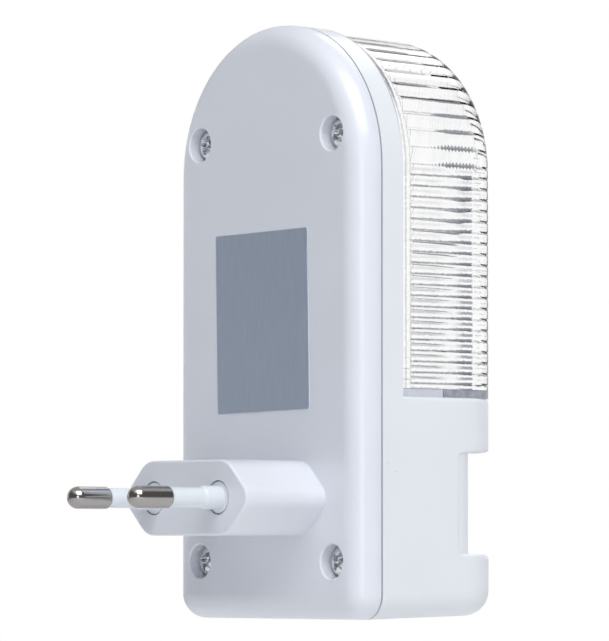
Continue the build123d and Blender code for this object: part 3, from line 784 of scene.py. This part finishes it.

# Painted shade in short dashes on the round front corner and in mitres where the ribs start, and on
# the plain band behind them a painted shadow line along the rim, darker and wider where the arch is
# steep.
broken = ramp(tree, patches, 0.48, 0.55, 0.0, 1.0)
past_side = ramp(tree, depth, 28.2, 28.6, 0.0, 1.0)
before_front = ramp(tree, depth, 33.0, 35.5, 1.0, 0.25)
valley_dashes = around(tree, to_valley, 0.0, 0.08, 0.08)
rib_dashes = around(tree, to_middle, 0.0, 0.06, 0.08)
dashes = largest(tree, valley_dashes, rib_dashes)
dashes = times(tree, dashes, past_side, before_front, broken, 0.55)
share_of_mitre = maths(tree, "DIVIDE", maths(tree, "SUBTRACT", depth, groove_start), mitre_length)
mitres = times(tree, around(tree, share_of_mitre, share_of_rib, 0.03, 0.08), 0.6)
band_depth = maths(tree, "ADD", depth, times(tree, rough_edge, 1.5))
steep_side = times(tree, turn, on_arch)
steep_band = ramp(tree, steep_side, radians(20.0), radians(36.0), 0.0, 1.0, smooth=True)
band_line_width = ramp(tree, steep_band, 0.0, 1.0, 0.16, 0.30)
band_line_strength = ramp(tree, steep_band, 0.0, 1.0, 0.45, 0.92)
rim_band_line = times(tree, around(tree, band_depth, 11.75, band_line_width, 0.10), band_line_strength)
rib_ends = times(tree, around(tree, band_depth, groove_start, 0.05, 0.10), 0.55)

on_ribs = ramp(tree, depth, groove_start, groove_start + 0.1, 0.0, 1.0)
shade = largest(tree, mix_numbers(tree, on_arch, rows_shade, fan_shade), dashes, mitres)
shade = largest(tree, times(tree, shade, on_ribs), rim_band_line, rib_ends)
paint(tree, shader, shade, white, groove_shadow)

clear, tree, shader = clear_plastic("clear_polystyrene", Roughness=0.03, IOR=1.33)
haze = noise(tree, object_position(tree), 60.0, 1.0)
paint(tree, shader, haze, white, (0.985, 0.99, 0.993, 1.0))

# Painted shade on the lens's lowest strip: pale near the rim, dark past the shadow's edge, dark
# border lines.
foot_shadow_depth = 20.9
foot, tree, shader = new_material("lens_foot_edge", Roughness=0.35, IOR=1.45)
depth, height = depth_and_height(tree)
streaks = noise(tree, object_position(tree), 900.0, 3.0)
past_rim = ramp(tree, depth, foot_shadow_depth - 0.1, foot_shadow_depth, 0.0, 1.0)
deep = times(tree, past_rim, ramp(tree, depth, 35.0, 36.0, 1.0, 0.0))
pale = blend(tree, streaks, (0.55, 0.58, 0.64, 1.0), (0.67, 0.69, 0.75, 1.0))
dark = blend(tree, streaks, (0.14, 0.15, 0.18, 1.0), (0.50, 0.52, 0.58, 1.0))
border = largest(
    tree,
    around(tree, depth, foot_shadow_depth, 0.10, 0.08),
    around(tree, depth, rim_depth, 0.12, 0.08),
    around(tree, height, lens_bottom + foot_wall, 0.08, 0.08),
)
foot_tone = blend(tree, deep, pale, dark)
paint(tree, shader, times(tree, border, 0.7), foot_tone, (0.12, 0.13, 0.16, 1.0))

vertices = np.concatenate((outer.reshape(-1, 3), inner.reshape(-1, 3))) * mm
faces = np.concatenate((outer_faces, inner_faces, ring_faces))
lens = new_piece("lens_cap", vertices, faces, ribbed)
lens.data.materials.append(clear)
lens.data.materials.append(foot)
slack = 0.01
heights = vertices[outer_faces][:, :, 2].max(axis=1) / mm - slack
on_ribbed, on_clear, on_foot = range(3)
low_strip = np.where(heights < lens_bottom + foot_wall, on_foot, on_ribbed)
outer_finish = np.where(heights > lens_bottom, low_strip, on_clear)
inner_finish = np.full(len(inner_faces) + len(ring_faces), on_clear)
finish = np.concatenate((outer_finish, inner_finish)).astype(np.int32)
lens.data.polygons.foreach_set("material_index", finish)
tidy_mesh(lens)
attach(lens, "root")
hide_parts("lens")

# ---------------------------------------------------------------- sensor window
# Clear button that lets daylight through the floor of the channel to the light sensor. It is
# pushed in from inside until its flange stops it, and its face is very finely frosted.

window, tree, shader = clear_plastic("window_polystyrene", IOR=1.45)
place = object_position(tree)
frost = noise(tree, place, 2500.0, 2.0)
feed(tree, shader.inputs["Roughness"], ramp(tree, frost, 0.2, 0.8, 0.05, 0.16))
feed(tree, shader.inputs["Normal"], bump(tree, frost, 2e-6))
paint(tree, shader, noise(tree, place, 150.0, 1.0), (0.97, 0.98, 1.0, 1.0), (0.90, 0.92, 0.95, 1.0))
dress("sensor_window", window)

# ---------------------------------------------------------------- lamps
# Four round-topped white LEDs, standing on the board and through the deck. Each is a lead frame
# with a silvered cup and yellow phosphor, cast in water-clear epoxy.

board_rear = 3.4
board_front = 5.0
lead_stub = 1.1
led_places = [(x, z) for x in (-9.0, 9.0) for z in (38.0, 56.0)]
led_radius = 2.5
led_flange_radius = 2.9
led_flange_height = 1.0
led_height = 8.6
led_lead_pitch = 2.54
cup_radius = 0.95
cup_floor = 4.3
cup_mouth = 5.2


def turned_pieces(name, profile, places, material, steps=48):
    """One piece of equal turned forms, one at each (x, z) place.

    Each is a profile of radii and heights turned about an axis along -Y, where a point's height
    is its distance from the board's front.
    """
    around_axis = np.linspace(0.0, 2 * pi, steps, endpoint=False)
    radii, heights = (np.array(values)[:, None] for values in zip(*profile))
    grids = []
    for x, z in places:
        xs = x + radii * np.cos(around_axis)
        ys = -(plug_length + board_front + heights) + 0 * around_axis
        zs = z + radii * np.sin(around_axis)
        grids.append(np.stack((xs, ys, zs), axis=-1))
    return piece_of_grids(name, grids, material)


def quarter_turn(radius, middle, steps=14):
    """Profile of a dome: radius times the cosine, and the sine above its middle height."""
    angles = np.linspace(0.0, pi / 2, steps)
    return list(zip(radius * np.cos(angles), middle + radius * np.sin(angles)))


epoxy, tree, shader = clear_plastic("water_clear_epoxy", Roughness=0.04, IOR=1.45)
swirl = noise(tree, object_position(tree), 900.0, 1.0)
paint(tree, shader, swirl, (1.0, 1.0, 0.98, 1.0), (0.94, 0.96, 0.94, 1.0))
led_flange = [
    (0.0, 0.02),
    (led_flange_radius - 0.1, 0.02),
    (led_flange_radius, 0.12),
    (led_flange_radius, led_flange_height - 0.1),
    (led_flange_radius - 0.1, led_flange_height),
    (led_radius, led_flange_height),
]
led_profile = led_flange + quarter_turn(led_radius, led_height - led_radius)
led_bodies = turned_pieces("led_bodies", led_profile, led_places, epoxy)
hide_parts("leds")

tinned = metal("tinned_lead_frame", (0.72, 0.72, 0.70, 1.0), 0.22, 2e-7)
cup_places = [(x - led_lead_pitch / 4, z) for x, z in led_places]
cup_profile = [
    (0.0, cup_floor - 0.3),
    (cup_radius * 0.8, cup_floor - 0.3),
    (cup_radius, cup_floor),
    (cup_radius, cup_mouth),
    (cup_radius - 0.12, cup_mouth),
    (cup_radius * 0.6, cup_floor + 0.25),
    (0.0, cup_floor + 0.25),
]
turned_pieces("led_cups", cup_profile, cup_places, tinned, 32)
lead_end = board_rear - board_front - lead_stub
lead_profile = [
    (0.0, lead_end),
    (0.3, lead_end + 0.05),
    (0.3, cup_mouth - 0.4),
    (0.25, cup_mouth - 0.3),
    (0.0, cup_mouth - 0.3),
]
feet = [(x + side * led_lead_pitch / 2, z) for x, z in led_places for side in (-1, 1)]
turned_pieces("led_leads", lead_profile, feet, tinned, 12)

phosphor, tree, shader = new_material("yellow_phosphor", Roughness=0.7)
grains = noise(tree, object_position(tree), 8000.0, 3.0)
paint(tree, shader, grains, (0.86, 0.68, 0.16, 1.0), (0.95, 0.80, 0.30, 1.0))
phosphor_profile = [
    (0.0, cup_floor + 0.3),
    (cup_radius * 0.66, cup_floor + 0.3),
    (cup_radius * 0.78, cup_mouth - 0.16),
    (cup_radius * 0.6, cup_mouth - 0.08),
    (0.0, cup_mouth - 0.02),
]
turned_pieces("led_phosphor", phosphor_profile, cup_places, phosphor, 32)

# ---------------------------------------------------------------- circuit board and its screws
# Glass-fibre board under green solder mask, its copper tracks showing through and its sawn
# edges bare, held on two posts by small zinc plated screws.

board_half_width = 14.2
mask_dark = (0.03, 0.17, 0.07, 1.0)
mask_green = (0.045, 0.22, 0.09, 1.0)
mask_over_copper = (0.09, 0.33, 0.12, 1.0)
bare_fibre = (0.62, 0.58, 0.38, 1.0)
laminate, tree, shader = new_material("green_laminate", Coat_Weight=0.4, Coat_Roughness=0.15)
place = object_position(tree)
cell_values = {"Vector": place, "Scale": 230.0, "Randomness": 0.6}
cells = add_node(tree, "ShaderNodeTexVoronoi", cell_values, distance="MANHATTAN")
tracks = ramp(tree, cells.outputs["Distance"], 0.42, 0.46, 0.0, 1.0)
mask_tone = blend(tree, noise(tree, place, 300.0, 2.0), mask_dark, mask_green)
mask_colour = blend(tree, tracks, mask_tone, mask_over_copper)
from_middle = maths(tree, "ABSOLUTE", position_in_mm(tree)["X"])
at_edge = ramp(tree, from_middle, board_half_width - 0.06, board_half_width - 0.02, 0.0, 1.0)
paint(tree, shader, at_edge, mask_colour, bare_fibre)
feed(tree, shader.inputs["Roughness"], ramp(tree, at_edge, 0.0, 1.0, 0.30, 0.75))
feed(tree, shader.inputs["Normal"], bump(tree, tracks, 3.5e-5))
dress("circuit_board", laminate)
add_screws(
    "board_screws_cross_head",
    "board_screws",
    [(0.0, -13.8), (0.0, 71.5)],
    (12.0, 58.0),
    seat=-(plug_length + board_rear),
    head_radius=2.1,
    head_height=1.2,
    radius=1.1,
    length=5.0,
    pitch=0.9,
    recess_span=2.8,
)

# ---------------------------------------------------------------- parts on the board
# The dropper capacitor, rectifier, smoothing capacitor, transistor, resistors and diode. Each has
# a moulded, lacquered or sleeved body on tinned leads that pass through the board.

leaded_part, given, result = new_group(
    "leaded_part",
    (
        ("Body Colour", "Color", white),
        ("Body Roughness", "Float", 0.4),
        ("On Lead", "Float", 0.0),
        ("Grain Depth", "Float", 2e-6),
    ),
    (("Colour", "Color"), ("Roughness", "Float"), ("Metallic", "Float"), ("Normal", "Vector")),
)
tree = leaded_part
place = object_position(tree)
grain = noise(tree, place, 3500.0, 2.0)
unevenly = ramp(tree, noise(tree, place, 350.0, 2.0), 0.3, 0.7, 0.88, 1.08)
body_tone = toned(tree, given["Body Colour"], unevenly)
lead_tone = blend(tree, grain, (0.62, 0.62, 0.60, 1.0), (0.78, 0.78, 0.76, 1.0))
on_lead = given["On Lead"]
feed(tree, result["Colour"], blend(tree, on_lead, body_tone, lead_tone))
gloss_change = ramp(tree, grain, 0.0, 1.0, -0.05, 0.05)
body_gloss = maths(tree, "ADD", given["Body Roughness"], gloss_change)
lead_gloss = ramp(tree, grain, 0.0, 1.0, 0.18, 0.34)
feed(tree, result["Roughness"], mix_numbers(tree, on_lead, body_gloss, lead_gloss))
feed(tree, result["Metallic"], on_lead)
grain_height = times(tree, grain, given["Grain Depth"])
feed(tree, result["Normal"], bump(tree, grain_height, 1.0))


def leaded(node_name, colour, roughness, lead_mask, grain_depth=2e-6, **sockets):
    """Finish of a part with leads: lead_mask and colour may be functions that paint them."""
    material, tree, shader = new_material(node_name + "_finish", **sockets)
    place_group(
        tree,
        leaded_part,
        shader,
        Body_Colour=colour(tree) if callable(colour) else colour,
        Body_Roughness=roughness,
        On_Lead=lead_mask(tree),
        Grain_Depth=grain_depth,
    )
    dress(node_name, material)


def under(stand_off):
    """Mask of upright leads: everything nearer to the board than the body's underside."""
    underside = -(plug_length + board_front + stand_off)
    return lambda tree: ramp(tree, position_in_mm(tree)["Y"], underside, underside + 0.02, 0.0, 1.0)


def past_ends(axis, middle, length):
    """Mask of bent leads: everything along an axis past the two ends of the body."""

    def mask(tree):
        away = apart(tree, position_in_mm(tree)[axis], middle)
        return ramp(tree, away, length / 2 - 0.04, length / 2, 0.0, 1.0)

    return mask


def banded(axis, middle, length, body, bands):
    """Body colour with painted rings: bands are (start, end, colour) as shares of the length."""

    def colour(tree):
        along = position_in_mm(tree)[axis]
        share = ramp(tree, along, middle - length / 2, middle + length / 2, 0.0, 1.0)
        painted = body
        for start, end, ring_colour in bands:
            on_ring = around(tree, share, (start + end) / 2, (end - start) / 2, 0.01)
            painted = blend(tree, on_ring, painted, ring_colour)
        return painted

    return colour


brown = (0.20, 0.07, 0.03, 1.0)
black = (0.02, 0.02, 0.02, 1.0)
red = (0.55, 0.05, 0.03, 1.0)
orange = (0.85, 0.25, 0.04, 1.0)
yellow = (0.85, 0.62, 0.06, 1.0)
violet = (0.22, 0.08, 0.38, 1.0)
gold = (0.60, 0.42, 0.12, 1.0)
resistor_blue = (0.36, 0.56, 0.66, 1.0)
cement = (0.62, 0.55, 0.40, 1.0)
diode_amber = (0.62, 0.22, 0.05, 1.0)
capacitor_yellow = (0.72, 0.55, 0.12, 1.0)
black_epoxy = (0.025, 0.025, 0.028, 1.0)
transistor_black = (0.022, 0.022, 0.025, 1.0)
lacquer = {"Coat_Weight": 0.5, "Coat_Roughness": 0.1}
glass = {"Coat_Weight": 1.0, "Coat_Roughness": 0.03}

# Each resistor with the axis it lies along, its middle and length on it, body colour and rings.
four_rings = ((0.12, 0.22), (0.32, 0.40), (0.50, 0.58), (0.78, 0.88))
resistors = (
    ("surge_resistor", "Z", 8.4, 9.0, cement, (yellow, violet, black, gold)),
    ("bleeder_resistor", "X", -3.5, 6.3, resistor_blue, (brown, black, yellow, gold)),
    ("led_resistor", "X", 7.6, 6.3, resistor_blue, (red, red, brown, gold)),
    ("sensor_resistor", "X", -7.6, 6.3, resistor_blue, (orange, orange, orange, gold)),
)
for name, axis, middle, length, body, ring_colours in resistors:
    bands = [(start, end, ring) for (start, end), ring in zip(four_rings, ring_colours)]
    painted = banded(axis, middle, length, body, bands)
    leaded(name, painted, 0.28, past_ends(axis, middle, length), 1e-6, **lacquer)
diode_middle = 8.4
diode_length = 4.3
cathode_ring = [(0.78, 0.92, black)]
diode_colour = banded("X", diode_middle, diode_length, diode_amber, cathode_ring)
diode_leads = past_ends("X", diode_middle, diode_length)
leaded("zener_diode", diode_colour, 0.12, diode_leads, 3e-7, **glass)
transistor_stand_off = 1.0
leaded("film_capacitor", capacitor_yellow, 0.36, under(0.0), 3e-6)
leaded("bridge_rectifier", black_epoxy, 0.45, under(0.0), 3e-6)
leaded("transistor", transistor_black, 0.48, under(transistor_stand_off), 3e-6)

can_place = (8.3, -9.5)
can_height = 12.0
stripe_width = 2.2


def can_colour(tree):
    """Dark sleeve with a pale stripe down one side, and the can's bare aluminium top."""
    parts = position_in_mm(tree)
    stripe = around(tree, parts["Z"], can_place[1], stripe_width / 2, 0.05)
    on_right = ramp(tree, parts["X"], can_place[0], can_place[0] + 0.1, 0.0, 1.0)
    striped = times(tree, stripe, on_right)
    sleeve = blend(tree, striped, (0.03, 0.04, 0.09, 1.0), (0.45, 0.50, 0.58, 1.0))
    top = -(plug_length + board_front + can_height)
    on_top = ramp(tree, parts["Y"], top + 0.05, top + 0.25, 1.0, 0.0)
    return blend(tree, on_top, sleeve, (0.66, 0.67, 0.69, 1.0))


leaded("electrolytic_capacitor", can_colour, 0.30, under(0.0), 1e-6, Coat_Weight=0.3)

# ---------------------------------------------------------------- light sensor
# Photocell behind the window: a cream ceramic disc with the level rows of an orange track across
# its face, on two long leads in insulating tubes.

sensor_height = -1.0
sensor_face_depth = 26.4
sensor_thickness = 2.1
track_pitch = 0.6
track_width = 0.312
track_half_span = (1.5, 1.8)
cream_ceramic = (0.74, 0.66, 0.50, 1.0)
track_orange = (0.62, 0.16, 0.04, 1.0)


def cell_colour(tree):
    """Cream ceramic with the track on its face, as level rows."""
    parts = position_in_mm(tree)
    above_sensor = maths(tree, "SUBTRACT", parts["Z"], sensor_height)
    row = maths(tree, "DIVIDE", maths(tree, "ADD", above_sensor, track_pitch / 2), track_pitch)
    share_of_row = maths(tree, "FRACT", maths(tree, "ADD", row, 20.0))
    stroke = around(tree, share_of_row, 0.5, track_width / track_pitch / 2, 0.06)
    across, high = track_half_span
    inside = around(tree, parts["X"], 0.0, across - 0.05, 0.1)
    near = around(tree, above_sensor, 0.0, high - 0.05, 0.1)
    front = -(plug_length + sensor_face_depth)
    on_face = ramp(tree, parts["Y"], front + 0.02, front + 0.10, 1.0, 0.0)
    track = times(tree, stroke, inside, near, on_face)
    return blend(tree, track, cream_ceramic, track_orange)


def behind_sensor(tree):
    """Mask of the sensor's leads: everything behind the back of its disc."""
    back = -(plug_length + sensor_face_depth - sensor_thickness)
    return ramp(tree, position_in_mm(tree)["Y"], back, back + 0.02, 0.0, 1.0)


clear_lacquer = {"Coat_Weight": 0.8, "Coat_Roughness": 0.06}
leaded("light_sensor", cell_colour, 0.35, behind_sensor, 1e-6, **clear_lacquer)
silicone_tube = moulded("silicone_tube", (0.80, 0.79, 0.74, 1.0), 0.45, 5e-6, 0.0)
dress("sensor_lead_sleeves", silicone_tube)

# ---------------------------------------------------------------- mains wires
# Two short insulated wires from the pins' tails to their pads on the back of the board.

wire_insulation = moulded("wire_insulation", (0.05, 0.10, 0.36, 1.0), 0.38, 1e-5, 0.0)
dress("left_mains_wire", wire_insulation)
dress("right_mains_wire", wire_insulation)
